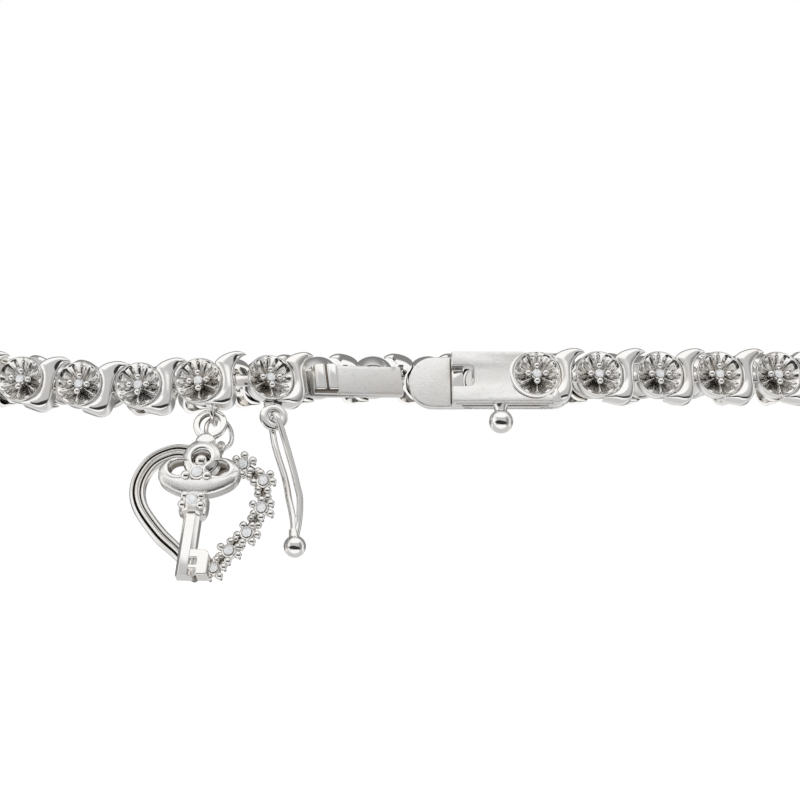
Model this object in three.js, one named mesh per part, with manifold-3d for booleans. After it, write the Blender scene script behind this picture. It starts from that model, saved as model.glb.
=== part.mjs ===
// A silver link bracelet: flower cups with polished waves, a tongue-and-box clasp that is open, its safety arm,
// and a charm of a heart and a key. Millimetres, +Z up. The loop runs round the Z axis and its clasp faces -Y.
// Each link is made in a frame of its own: +X along the chain, +Y up across it, +Z out of its face, with the
// middle of its flower at the origin.
import * as THREE from 'three';
import { mergeVertices } from 'three/addons/utils/BufferGeometryUtils.js';
import Module from 'manifold-3d';

const wasm = await Module();
wasm.setup();

const deg = Math.PI / 180;

// The loop seen from above: a flat front arc, two tight corners and a rounder back, all tangent.
const loop = { frontRadius: 130, frontHalfAngle: 15 * deg, cornerRadius: 10.2, backHalfAngle: 60 * deg };
// Faces lean back so that they look a little upwards: less from the front to the corners, and more again at the back.
const lean = { middle: 15 * deg, swing: 5 * deg, behind: 14 * deg };
// The left of the chain sags a little.
const sag = { depth: 1.03, at: -23.2, width: 8.3 };

const link = { faceTop: 0.85, back: -0.7, rimRadius: 1.97, baseRadius: 1.8, hingeDrop: -0.2, halfPitch: 2.54 };
const wave = { bottom: -0.7, top: 0.98 };
const eye = { outer: 0.5, bore: 0.33, halfWidth: 0.42, barRadius: 0.14 };

// The plain links are numbered from the tongue round the back to the box. The chain's two end hinges stand to the
// left and to the right of the loop's front middle.
const chain = { links: 34, leftEnd: -14.11, rightEnd: 13.92 };
const clasp = { boxTurnAt: 7, boxBar: 2.6, tongueTurn: 20 * deg, tongueEye: -3.22 };

// ---------- solids ----------

// Turns a closed geometry into a solid, with doubled corners merged and its faces pointing out.
function solid(geometry) {
  const plain = geometry.clone();
  plain.deleteAttribute('normal');
  plain.deleteAttribute('uv');
  const merged = mergeVertices(plain, 1e-4);
  const corners = merged.attributes.position.array;
  const index = merged.index.array;
  const kept = [];
  let volume = 0;
  const [a, b, c] = [new THREE.Vector3(), new THREE.Vector3(), new THREE.Vector3()];
  for (let i = 0; i < index.length; i += 3) {
    const [p, q, r] = [index[i], index[i + 1], index[i + 2]];
    if (p === q || q === r || r === p) continue;
    kept.push(p, q, r);
    a.fromArray(corners, 3 * p);
    b.fromArray(corners, 3 * q);
    c.fromArray(corners, 3 * r);
    volume += a.dot(b.cross(c));
  }
  if (volume < 0) {
    for (let i = 0; i < kept.length; i += 3) [kept[i], kept[i + 1]] = [kept[i + 1], kept[i]];
  }
  const mesh = { numProp: 3, vertProperties: new Float32Array(corners), triVerts: new Uint32Array(kept) };
  return new wasm.Manifold(new wasm.Mesh(mesh));
}

const join = (first, ...rest) => rest.reduce((sum, next) => sum.add(next), first);
const cut = (body, ...tools) => tools.reduce((sum, next) => sum.subtract(next), body);

function geometryOf(manifold) {
  const mesh = manifold.getMesh();
  const geometry = new THREE.BufferGeometry();
  geometry.setAttribute('position', new THREE.BufferAttribute(mesh.vertProperties, 3));
  geometry.setIndex(new THREE.BufferAttribute(mesh.triVerts, 1));
  geometry.computeVertexNormals();
  return geometry;
}

// A block between two corners.
function block([x0, x1], [y0, y1], [z0, z1]) {
  const geometry = new THREE.BoxGeometry(x1 - x0, y1 - y0, z1 - z0);
  geometry.translate((x0 + x1) / 2, (y0 + y1) / 2, (z0 + z1) / 2);
  return solid(geometry);
}

// A flat outline pushed from z0 to z1.
function slab(shape, z0, z1, curveSegments = 2) {
  const geometry = new THREE.ExtrudeGeometry(shape, { depth: z1 - z0, bevelEnabled: false, curveSegments });
  geometry.translate(0, 0, z0);
  return solid(geometry);
}

// A round body about an axis, from [radius, height] pairs; axis 'x', 'y' or 'z', centred at a point.
function turned(profile, segments, axis = 'z', [x, y, z] = [0, 0, 0]) {
  const geometry = new THREE.LatheGeometry(profile.map(([r, h]) => new THREE.Vector2(r, h)), segments);
  if (axis === 'z') geometry.rotateX(Math.PI / 2);
  if (axis === 'x') geometry.rotateZ(-Math.PI / 2);
  geometry.translate(x, y, z);
  return solid(geometry);
}

const disc = (radius, z0, z1, segments, axis, centre) =>
  turned([[0, z0], [radius, z0], [radius, z1], [0, z1]], segments, axis, centre);

const ringDisc = (outer, inner, z0, z1, segments, axis, centre) =>
  turned([[inner, z0], [outer, z0], [outer, z1], [inner, z1], [inner, z0]], segments, axis, centre);

function ball(radius, [x, y, z], across = 12, down = 8) {
  const geometry = new THREE.SphereGeometry(radius, across, down);
  geometry.translate(x, y, z);
  return solid(geometry);
}

function polygon(radius, sides) {
  const points = Array.from({ length: sides }, (_, i) => {
    const angle = (2 * Math.PI * i) / sides;
    return new THREE.Vector2(radius * Math.cos(angle), radius * Math.sin(angle));
  });
  return new THREE.Shape(points);
}

function ellipse(x, y, rx, ry, segments = 12) {
  const points = Array.from({ length: segments }, (_, i) => {
    const angle = (2 * Math.PI * i) / segments;
    return new THREE.Vector2(x + rx * Math.cos(angle), y + ry * Math.sin(angle));
  });
  return new THREE.Shape(points);
}

// A section carried along a smooth line through points, with the same number of steps between each two.
function sweptThrough(section, points, stepsEach = 1) {
  const curve = new THREE.CatmullRomCurve3(points.map(([x, y, z = 0]) => new THREE.Vector3(x, y, z)));
  curve.getPointAt = (u, target) => curve.getPoint(u, target);
  curve.getTangentAt = (u, target) => curve.getTangent(u, target);
  const steps = (points.length - 1) * stepsEach;
  return solid(new THREE.ExtrudeGeometry(section, { steps, extrudePath: curve, bevelEnabled: false }));
}

// ---------- a link's parts ----------

// The round cup of a flower: a cone outside, a hollow for its petals and a seat in the middle.
function flowerCup(segments = 10) {
  const { faceTop, back, rimRadius, baseRadius } = link;
  return turned([
    [0, back], [baseRadius, back], [rimRadius, faceTop], [rimRadius - 0.18, faceTop],
    [0.6, faceTop - 0.7], [0.5, faceTop - 0.15], [0, faceTop - 0.15],
  ], segments);
}

// What is cut away for a flower that is sunk into a flat plate, and the seat left in its middle.
function flowerHollow(segments = 10) {
  const top = link.faceTop + 0.5;
  return turned([[0, link.faceTop - 0.7], [0.6, link.faceTop - 0.7], [1.86, link.faceTop], [1.86, top], [0, top]],
    segments);
}

function flowerSeat() {
  return disc(0.5, link.faceTop - 0.8, link.faceTop - 0.15, 10);
}

// The wave: it starts under the flower, rises along the flower's right side and curls over at the top. Its right edge
// follows the next flower's rim.
function waveOutline(foot) {
  const points = [[foot, -1.93], [2.0, -2.37], [2.65, -2.08], [2.9, -1.4], [2.84, 0], [2.9, 0.65],
    [3.15, 1.25], [3.55, 1.69], [4.08, 1.98], [3.7, 2.24], [2.7, 2.22], [1.35, 1.45], [1.2, -1.0]];
  return new THREE.Shape(points.map(([x, y]) => new THREE.Vector2(x, y)));
}

// The wave with its curl free underneath and the flower's hollow left open.
function waveBand(foot = 0.95) {
  const underCurl = block([3.0, 5], [0, 3], [wave.bottom - 1, 0.3]);
  return cut(slab(waveOutline(foot), wave.bottom, wave.top), underCurl, flowerHollow());
}

// The slot under a wave and the bar across it, which the next link's eye goes round.
function withSlot(body, at = link.halfPitch) {
  const slot = block([at - 0.76, at + 1.5], [-0.62, 0.62], [-1.2, 0.42]);
  const bar = disc(eye.barRadius, -0.8, 0.8, 6, 'y', [at, 0, link.hingeDrop]);
  return join(cut(body, slot), bar);
}

// The tab on a link's left side and the eye at its end.
function eyeTab(reach) {
  const centre = [-reach, 0, link.hingeDrop];
  const ring = ringDisc(eye.outer, eye.bore, -eye.halfWidth, eye.halfWidth, 8, 'y', centre);
  const neck = block([-reach + eye.bore + 0.07, -1.2], [-eye.halfWidth, eye.halfWidth],
    [link.hingeDrop - 0.22, link.hingeDrop + 0.22]);
  return join(ring, neck);
}

function plainLink(foot) {
  return join(withSlot(join(flowerCup(), waveBand(foot))), eyeTab(link.halfPitch));
}

// ---------- the link that carries the charm ----------

const charmRing = { x: 0.94, y: -2.38, z: -0.65, radius: 1.1, wire: 0.175 };

function charmLink() {
  const { x, y, z, radius, wire } = charmRing;
  const lug = block([x - 0.55, x + 0.55], [-1.97, -1.1], [z - 0.2, z + 0.2]);
  const way = ringDisc(radius + wire + 0.12, radius - wire - 0.12, -0.3, 0.3, 20, 'x', [x, y, z]);
  return cut(join(plainLink(1.36), lug), way);
}

function jumpRing() {
  const geometry = new THREE.TorusGeometry(charmRing.radius, charmRing.wire, 5, 16);
  geometry.rotateY(Math.PI / 2);
  geometry.translate(charmRing.x, charmRing.y, charmRing.z);
  return solid(geometry);
}

// ---------- the tongue and its safety arm ----------

const tongue = { start: 2.7, tip: 11.95, top: 1.25, foot: -1.3, leaf: 0.28, bottom: -0.72 };
const button = { left: 3.85, right: 5.92, top: 1.2, foot: -1.1, under: 0.28, face: 1.05, groove: 4.88 };
const ear = { x: 0.13, y: -3.25, radius: 1.28, bore: 0.45, half: 0.26 };

// The tongue seen from its edge: two leaves folded at the tip, the upper one rising to the button.
function tongueLeaves() {
  const { start, tip, leaf, bottom } = tongue;
  const side = new THREE.Shape();
  side.moveTo(start, bottom);
  side.lineTo(tip - 0.25, bottom);
  side.lineTo(tip, bottom + 0.22);
  side.lineTo(tip, bottom + 0.5);
  side.lineTo(tip - 0.2, bottom + 0.72);
  side.lineTo(button.left, button.under + 0.1);
  side.lineTo(button.left, button.under - leaf + 0.1);
  side.lineTo(tip - 0.55, bottom + leaf + 0.02);
  side.lineTo(start, bottom + leaf);
  const geometry = new THREE.ExtrudeGeometry(side, { depth: tongue.top - tongue.foot, bevelEnabled: false });
  geometry.rotateX(Math.PI / 2);
  geometry.translate(0, tongue.top, 0);
  return solid(geometry);
}

function thumbButton() {
  const { left, right, top, foot, under, face, groove } = button;
  const corner = 0.35;
  const outline = new THREE.Shape();
  outline.moveTo(left, foot);
  outline.lineTo(right, foot);
  outline.lineTo(right, top - corner);
  outline.lineTo(right - corner, top);
  outline.lineTo(left + corner, top);
  outline.lineTo(left, top - corner);
  return cut(slab(outline, under, face), block([groove - 0.1, groove + 0.1], [foot - 1, top + 1], [face - 0.18, 2]));
}

function tongueLink() {
  const connector = block([2.2, 3.8], [-1.3, 1.05], [tongue.bottom, 0.1]);
  const earRing = ringDisc(ear.radius, ear.bore, -ear.half, ear.half, 16, 'z', [ear.x, ear.y, 0]);
  const earWeb = block([ear.x - 0.7, ear.x + 0.8], [-2.45, -1.5], [-ear.half, ear.half]);
  const underButton = block([3.3, button.left + 0.02], [-3, 3], [-0.3, 2]);
  return join(flowerCup(), waveBand(), eyeTab(-clasp.tongueEye), cut(connector, underButton), tongueLeaves(),
    thumbButton(), earRing, earWeb);
}

// The hairpin goes down behind the ear, up through its bore and down in front, spreads, and meets at the ball.
const armWire = 0.24;
const armBall = { radius: 0.93, x: 0.54, y: -11.33 };

function safetyArm() {
  const rows = [
    { down: 2.27, middle: 0.28, half: 0.31, apart: 0.44 },
    { down: 3.55, middle: 0.5, half: 0.34, apart: 0.38 },
    { down: 5.03, middle: 0.77, half: 0.33, apart: 0.32 },
    { down: 6.2, middle: 0.91, half: 0.35, apart: 0.28 },
    { down: 7.09, middle: 0.98, half: 0.4, apart: 0.24 },
    { down: 8.2, middle: 0.98, half: 0.31, apart: 0.16 },
    { down: 9.3, middle: 0.88, half: 0.2, apart: 0.06 },
    { down: 10.5, middle: 0.64, half: 0.08, apart: 0 },
  ];
  const front = rows.map(({ down, middle, half, apart }) => [middle + half, -down, apart]);
  const behind = rows.map(({ down, middle, half, apart }) => [middle - half, -down, -apart]);
  const bend = [[-0.06, -0.7, -0.58], [-0.04, -0.1, -0.54], [0, 0.1, -0.26], [0, 0.1, 0.26], [0.06, -0.1, 0.54],
    [0.24, -0.7, 0.58]];
  const path = [...behind.reverse(), ...bend, ...front].map(([x, y, z]) => [ear.x + x, ear.y + y, z]);
  const wire = sweptThrough(polygon(armWire, 6), path);
  const neck = turned([[0, 0], [0.5, 0], [0.34, 1.0], [0, 1.0]], 8, 'y', [ear.x + 0.56, ear.y - 10.85, 0]);
  return join(wire, neck, ball(armBall.radius, [ear.x + armBall.x, ear.y + armBall.y, 0]));
}

// ---------- the clasp box ----------

const box = {
  left: -7.06, right: 2.75, foot: -2.54, top: 1.89, bottom: -1.0, face: 0.88,
  notchEnd: -5.2, notchTop: 0.65, notchFoot: -1.13, guideEnd: -10.5,
};
const stud = { x: -3.02, y: -3.92, z: -0.1, radius: 1.0 };

function guidePlate() {
  const { left, foot, top, guideEnd } = box;
  const shape = new THREE.Shape();
  shape.moveTo(left + 0.2, foot - 0.1);
  shape.lineTo(left + 0.2, top);
  shape.lineTo(guideEnd + 1.5, top);
  shape.bezierCurveTo(guideEnd + 0.3, top - 0.1, guideEnd, 0.6, guideEnd, -0.35);
  shape.bezierCurveTo(guideEnd, -1.4, guideEnd + 0.4, foot + 0.1, guideEnd + 1.9, foot - 0.1);
  return slab(shape, box.bottom + 0.05, -0.35, 5);
}

function boxBody() {
  const { left, right, foot, top, bottom, face, notchEnd, notchTop, notchFoot } = box;
  const outline = new THREE.Shape();
  outline.moveTo(left, foot);
  outline.lineTo(1.2, foot);
  outline.quadraticCurveTo(right, foot, right, foot + 1.3);
  outline.lineTo(right, top);
  outline.lineTo(left, top);
  const hollow = block([left - 1, 1.3], [foot + 0.35, top - 0.35], [-0.62, 0.02]);
  const hollowFront = block([left - 1, -2.4], [foot + 0.35, top - 0.35], [-0.62, 0.48]);
  const notch = join(block([left - 1, notchEnd - 0.3], [notchFoot, notchTop], [0, 2]),
    block([left, notchEnd], [notchFoot + 0.3, notchTop - 0.3], [0, 2]));
  const hole = block([-6.05, notchEnd - 0.1], [notchFoot + 0.35, notchTop + 0.6], [-2, 0]);
  const slit = block([-6.2, 0.25], [foot - 1, foot + 0.5], [-0.12, 0.1]);
  return cut(slab(outline, bottom, face, 4), hollow, hollowFront, notch, hole, slit, flowerHollow());
}

function claspBox() {
  const studBall = ball(stud.radius, [stud.x, stud.y, stud.z]);
  const neck = turned([[0, 0], [0.48, 0], [0.68, 0.95], [0, 0.95]], 10, 'y', [stud.x, box.foot - 0.9, stud.z]);
  const curl = waveBand(1.4);
  return join(withSlot(join(boxBody(), flowerSeat(), curl), clasp.boxBar), guidePlate(), studBall, neck);
}

// ---------- the key ----------

// The key's own frame has its bow's middle at the origin, +Y to its bail and +Z out of its face.
const key = { thick: 1.25, bailX: 0.32, bailY: 4.25, bailOuter: 1.42, bailBore: 0.9, end: -10.1, shaft: 0.7 };

function keyBody() {
  const half = key.thick / 2;
  const plate = (shape) => slab(shape, -half, half);
  const bow = join(plate(ellipse(0.05, 1.0, 1.6, 1.75)), plate(ellipse(-1.72, -0.35, 1.7, 1.4)),
    plate(ellipse(1.74, -0.38, 1.7, 1.4)), plate(ellipse(0, -1.1, 3.1, 1.5, 16)));
  const opening = (x, y, rx, ry) => slab(ellipse(x, y, rx, ry, 10), -1, 1);
  const pierced = cut(bow, opening(0.1, 0.98, 0.84, 0.88), opening(-1.58, -0.2, 0.9, 0.84),
    opening(1.64, -0.22, 0.9, 0.8));
  const bail = ringDisc(key.bailOuter, key.bailBore, -0.25, 0.25, 16, 'z', [key.bailX, key.bailY, 0]);
  const neck = block([-0.4, 0.75], [2.5, 3.15], [-0.3, 0.3]);
  const shaft = slab(new THREE.Shape([[-key.shaft, key.end], [key.shaft, key.end], [key.shaft, -1.6],
    [-key.shaft, -1.6]].map(([x, y]) => new THREE.Vector2(x, y))), -half, half);
  const collar = disc(1.25, -4.4, -2.5, 12, 'y', [0, 0, -0.1]);
  const bit = cut(block([key.shaft - 0.1, 2.0], [-10.05, -7.7], [-half, half]),
    block([key.shaft, 1.05], [-9.1, -8.5], [-2, 2]), block([key.shaft, 1.0], [-11, -9.55], [-2, 2]));
  return join(pierced, bail, neck, shaft, collar, bit);
}

const keyStones = [
  { name: 'key_stone_1', x: 0, y: -0.62, z: 0.62, radius: 0.5 },
  { name: 'key_stone_2', x: 0, y: -3.4, z: 1.0, radius: 0.52 },
];

// A round stone from its culet to its table.
function stone({ x, y, z, radius }) {
  return turned([[0, -0.3 * radius], [radius, 0.3 * radius], [0.6 * radius, 0.65 * radius], [0, 0.65 * radius]], 8,
    'z', [x, y, z]);
}

// Cups for stones, each with a seat that its stone sits in a hair's breadth clear; the seats go into the body as well.
function withSettings(body, stones, from, wall = 0.2) {
  const room = 0.05;
  const cups = stones.map(({ x, y, z, radius }) => disc(radius + wall, from, z + 0.25 * radius, 8, 'z', [x, y, 0]));
  const seats = stones.map(({ x, y, z, radius }) => turned([[0, z - 0.3 * radius - room],
    [0.12, z - 0.3 * radius - room], [radius + room, z + 0.2 * radius], [radius + room, z + 2], [0, z + 2]], 8, 'z',
  [x, y, 0]));
  return cut(join(body, ...cups), ...seats);
}

function keyWithSettings() {
  const [bowStone, collarStone] = keyStones;
  return withSettings(withSettings(keyBody(), [bowStone], -0.4), [collarStone], 0.5);
}

// ---------- the heart ----------

// The heart's own frame has the middle of its notch a little under the origin, +Y up its axis, +Z out of its face.
const heart = { wide: 1.32, half: 0.6, tipY: -10.75, settingZ: 0.55 };
const heartLeft = [[0.15, -1.5], [-1.1, -0.4], [-2.5, 0.05], [-3.95, -0.1], [-5.5, -1.2], [-6.2, -3.2],
  [-5.65, -5.15], [-3.6, -7.35], [-1.5, -8.95], [0, heart.tipY]];
const heartRight = [[-0.15, -1.5], [1.0, -0.75], [2.35, -0.6], [3.8, -1.4], [4.4, -2.8], [4.4, -4.3],
  [3.6, -6.6], [2.4, -8.35], [1.3, -9.7], [0, heart.tipY]];
const heartStones = [[2.35, -0.65], [4.2, -1.75], [4.43, -4.3], [3.6, -6.6], [2.4, -8.35], [1.5, -9.85]].map(
  ([x, y], i) => ({ name: `heart_stone_${i + 1}`, x, y, z: heart.settingZ, radius: 0.46 }));
const beadRing = { count: 5, radius: 0.84, bead: 0.32 };

function bandSection(wide, half) {
  const bevel = 0.25;
  return new THREE.Shape([[-half, -wide / 2 + bevel], [-half, wide / 2 - bevel], [0, wide / 2],
    [half, wide / 2 - bevel], [half, -wide / 2 + bevel], [0, -wide / 2]].map(([x, y]) => new THREE.Vector2(x, y)));
}

function heartBody() {
  const left = sweptThrough(bandSection(heart.wide, heart.half), heartLeft, 2);
  const right = sweptThrough(bandSection(0.9, 0.35), heartRight);
  const tip = disc(0.6, -heart.half, heart.half, 8, 'z', [0, heart.tipY - 0.15, 0]);
  const beads = heartStones.flatMap((at) => Array.from({ length: beadRing.count }, (_, i) => {
    const angle = Math.atan2(at.y + 5, at.x) + (2 * Math.PI * (i + 0.5)) / beadRing.count;
    const [x, y] = [at.x + beadRing.radius * Math.cos(angle), at.y + beadRing.radius * Math.sin(angle)];
    return ball(beadRing.bead, [x, y, 0.35], 4, 3);
  }));
  return withSettings(join(left, right, tip, ...beads), heartStones, -0.5, 0.26);
}

const heartEye = { y: 0.66, radius: 0.6, wire: 0.17, turn: 47 * deg };

function heartWithEye() {
  const geometry = new THREE.TorusGeometry(heartEye.radius, heartEye.wire, 5, 12);
  geometry.rotateY(Math.PI / 2 + heartEye.turn);
  geometry.translate(0, heartEye.y, 0);
  return join(heartBody(), solid(geometry), block([-0.28, 0.28], [-1.2, 0.15], [-0.3, 0.3]));
}

function heartRing() {
  const geometry = new THREE.TorusGeometry(1.32, 0.19, 6, 20);
  return solid(geometry);
}

// ---------- the loop ----------

const arcs = (() => {
  const { frontRadius, frontHalfAngle, cornerRadius, backHalfAngle } = loop;
  const cornerX = (frontRadius - cornerRadius) * Math.sin(frontHalfAngle);
  const cornerY = frontRadius - (frontRadius - cornerRadius) * Math.cos(frontHalfAngle);
  const backRadius = cornerRadius + cornerX / Math.sin(backHalfAngle);
  const backY = cornerY - (backRadius - cornerRadius) * Math.cos(backHalfAngle);
  const front = frontRadius * frontHalfAngle;
  const corner = cornerRadius * (Math.PI - backHalfAngle - frontHalfAngle);
  const back = backRadius * backHalfAngle;
  return { cornerX, cornerY, backRadius, backY, front, corner, half: front + corner + back, depth: backY + backRadius };
})();

// The point on the loop at a way s from its front middle, positive to the right, and the turn of its normal.
function onLoop(s) {
  const way = s - 2 * arcs.half * Math.round(s / (2 * arcs.half));
  const side = Math.sign(way) || 1;
  const along = Math.abs(way);
  const { frontRadius, frontHalfAngle, cornerRadius, backHalfAngle } = loop;
  let [cx, cy, radius, turn] = [0, frontRadius, frontRadius, along / frontRadius];
  if (along > arcs.front + arcs.corner) {
    turn = Math.PI - backHalfAngle + (along - arcs.front - arcs.corner) / arcs.backRadius;
    [cx, cy, radius] = [0, arcs.backY, arcs.backRadius];
  } else if (along > arcs.front) {
    turn = frontHalfAngle + (along - arcs.front) / cornerRadius;
    [cx, cy, radius] = [arcs.cornerX, arcs.cornerY, cornerRadius];
  }
  const x = cx + radius * Math.sin(turn);
  const y = cy - radius * Math.cos(turn) - arcs.depth / 2;
  const rise = -sag.depth * Math.exp(-(((side * x - sag.at) / sag.width) ** 2));
  return { point: new THREE.Vector3(side * x, y, rise), turn: side * turn, way };
}

// A link's frame, from the hinge line it stands on: +X along the chain, its face leaning back by the loop's law, and its
// origin a little in front of the hinge line, at a way along it.
function frameAlong(hinge, along, way, ahead = 0) {
  const front = Math.cos((Math.PI * way) / arcs.half);
  const back = lean.middle + lean.swing * front + lean.behind * THREE.MathUtils.smoothstep(-front, 0.2, 1);
  const x = along.clone().normalize();
  const level = Math.hypot(x.x, x.y);
  const face = new THREE.Vector3((Math.cos(back) * x.y) / level, (-Math.cos(back) * x.x) / level, Math.sin(back));
  face.addScaledVector(x, -face.dot(x)).normalize();
  const frame = new THREE.Matrix4().makeBasis(x, face.clone().cross(x), face);
  return frame.setPosition(hinge.clone().addScaledVector(face, -link.hingeDrop).addScaledVector(x, ahead));
}

// The plain links hang between hinges that lie on the loop, one pitch apart.
function chainFrames() {
  const nextHinge = (s, pitch) => {
    let [low, high] = [s, s + 2 * pitch];
    for (let i = 0; i < 50; i += 1) {
      const middle = (low + high) / 2;
      const far = onLoop(middle).point.distanceTo(onLoop(s).point) > pitch;
      [low, high] = far ? [low, middle] : [middle, high];
    }
    return low;
  };
  const walk = (pitch) => {
    const ways = [chain.rightEnd];
    for (let i = 0; i < chain.links; i += 1) ways.push(nextHinge(ways[i], pitch));
    return ways;
  };
  let [low, high] = [4.5, 6];
  for (let i = 0; i < 50; i += 1) {
    const middle = (low + high) / 2;
    [low, high] = walk(middle)[chain.links] > 2 * arcs.half + chain.leftEnd ? [low, middle] : [middle, high];
  }
  const ways = walk(low);
  return ways.slice(1).map((way, i) => {
    const [from, to] = [onLoop(ways[i]).point, onLoop(way).point];
    return frameAlong(from.clone().add(to).multiplyScalar(0.5), to.clone().sub(from), (ways[i] + way) / 2);
  });
}

const level = (turn) => new THREE.Vector3(Math.cos(turn), Math.sin(turn), 0);

// ---------- the bracelet ----------

const silver = new THREE.MeshStandardMaterial({ color: 0xd9d9d7, roughness: 0.18, metalness: 1 });
const clear = new THREE.MeshStandardMaterial({ color: 0xf4f6fa, roughness: 0.05, metalness: 0 });

const bracelet = new THREE.Group();

function place(name, geometry, frame, material = silver) {
  const mesh = new THREE.Mesh(geometry, material);
  mesh.name = name;
  frame.decompose(mesh.position, mesh.quaternion, mesh.scale);
  bracelet.add(mesh);
}

const linkName = (number) => `link_${String(number).padStart(2, '0')}`;

function addLinks() {
  const plain = geometryOf(plainLink());
  const frames = chainFrames().reverse();
  place(linkName(1), geometryOf(charmLink()), frames[0]);
  frames.slice(1).forEach((frame, i) => place(linkName(i + 2), plain, frame));
  return frames[0];
}

function addClasp() {
  const left = onLoop(chain.leftEnd).point;
  const tongueFrame = frameAlong(left, level(clasp.tongueTurn), 0, -clasp.tongueEye);
  place('tongue_link', geometryOf(tongueLink()), tongueFrame);
  place('safety_arm', geometryOf(safetyArm()), tongueFrame);
  const right = onLoop(chain.rightEnd).point;
  const boxFrame = frameAlong(right, level(onLoop(clasp.boxTurnAt).turn), 0, -clasp.boxBar);
  place('clasp_box', geometryOf(claspBox()), boxFrame);
}

function turnedFrame(frame, [x, y, z], lie, slant, turn = 0) {
  const local = new THREE.Matrix4().makeTranslation(x, y, z);
  local.multiply(new THREE.Matrix4().makeRotationX(lie));
  local.multiply(new THREE.Matrix4().makeRotationZ(slant));
  local.multiply(new THREE.Matrix4().makeRotationY(turn));
  return frame.clone().multiply(local);
}

function addCharm(frame) {
  place('jump_ring', geometryOf(jumpRing()), frame);
  const bail = [charmRing.x - 0.22, -3.68, -0.1];
  const keySlant = -7.5 * deg;
  const keyLie = -11 * deg;
  const toBail = new THREE.Matrix4().makeTranslation(-key.bailX, -key.bailY, 0);
  const keyFrame = turnedFrame(frame, bail, keyLie, keySlant).multiply(toBail);
  place('key', geometryOf(keyWithSettings()), keyFrame);
  keyStones.forEach((at) => place(at.name, geometryOf(stone(at)), keyFrame, clear));
  place('heart_ring', geometryOf(heartRing()), turnedFrame(frame, [1.21, -4.12, -1.3], 0, 0, heartEye.turn));
  const heartFrame = turnedFrame(frame, [1.0, -6.12, -1.43], -4 * deg, -12 * deg);
  place('heart', geometryOf(heartWithEye()), heartFrame);
  heartStones.forEach((at) => place(at.name, geometryOf(stone(at)), heartFrame, clear));
}

const charmFrame = addLinks();
addClasp();
addCharm(charmFrame);

export default bracelet;
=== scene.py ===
# Silver flower-and-wave bracelet: clasp open, safety arm and heart-and-key charm.
# Shapes are worked out in millimetres in each part's own frame: +X along the chain, +Y up across it,
# +Z out of its face. They become metres when they are put in place.
from math import cos, hypot, pi, radians, sin

import bmesh
import bpy
import numpy as np
from mathutils import Matrix


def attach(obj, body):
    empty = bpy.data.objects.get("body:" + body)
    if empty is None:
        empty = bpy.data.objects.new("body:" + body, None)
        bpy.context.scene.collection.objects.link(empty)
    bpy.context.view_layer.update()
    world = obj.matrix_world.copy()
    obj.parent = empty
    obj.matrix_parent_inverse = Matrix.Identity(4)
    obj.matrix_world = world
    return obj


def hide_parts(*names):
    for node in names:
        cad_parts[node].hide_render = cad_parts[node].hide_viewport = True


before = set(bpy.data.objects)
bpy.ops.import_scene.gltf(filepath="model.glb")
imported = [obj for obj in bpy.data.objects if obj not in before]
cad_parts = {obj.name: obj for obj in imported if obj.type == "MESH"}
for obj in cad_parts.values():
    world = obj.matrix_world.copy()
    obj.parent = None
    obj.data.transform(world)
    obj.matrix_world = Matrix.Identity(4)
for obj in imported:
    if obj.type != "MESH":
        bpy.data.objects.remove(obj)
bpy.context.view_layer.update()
print("frame loaded:", len(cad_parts), "nodes")


# Camera.

view = {"away": 0.3695, "height": -0.00188, "lens": 189.0, "sensor": 36, "near": 0.01, "far": 20}


def addObject(name, data):
    # A new object in the scene.
    added = bpy.data.objects.new(name, data)
    bpy.context.scene.collection.objects.link(added)
    return added


camera = addObject("camera", bpy.data.cameras.new("camera"))
camera.location = (0, -view["away"], view["height"])
camera.rotation_euler = (pi / 2, 0, 0)
camera.data.lens = view["lens"]
camera.data.sensor_width = view["sensor"]
camera.data.clip_start, camera.data.clip_end = view["near"], view["far"]
bpy.context.scene.camera = camera


# Where things go: the loop of hinges and a frame for each piece.

loop = {"frontRadius": 130.0, "frontTurn": radians(15), "cornerRadius": 10.2, "backTurn": radians(60)}
lean = {"middle": radians(15), "swing": radians(5), "behind": radians(14)}
sag = {"depth": 1.03, "at": -23.2, "width": 8.3}
chain = {"links": 34, "leftEnd": -14.11, "rightEnd": 13.92, "hingeDrop": -0.2, "halfPitch": 2.54,
         "pitchRange": (4.5, 6.0), "halvings": 50}
clasp = {"boxTurnAt": 7.0, "boxBar": 2.6, "tongueTurn": radians(20), "tongueEye": -3.22}
charm = {
    # Where the charm's pieces hang in the first link's frame, and the middle of the bail in the key's own.
    "keyAt": (0.72, -3.68, -0.1), "keyTilt": radians(-11), "keySlant": radians(-7.5), "bail": (0.32, 4.25),
    "jumpAt": (0.94, -2.38, -0.65), "jumpRadius": 1.1, "jumpWire": 0.175,
    "heartRingAt": (1.21, -4.12, -1.3), "heartRingRadius": 1.32, "heartRingWire": 0.19,
    "heartAt": (1.0, -6.12, -1.43), "heartTilt": radians(-4), "heartSlant": radians(-12),
    "eyeTurn": radians(47),
}


def within(value, low, high):
    # 0 below low, 1 above high, smooth between.
    f = np.clip((value - low) / (high - low), 0, 1)
    return f * f * (3 - 2 * f)


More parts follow.
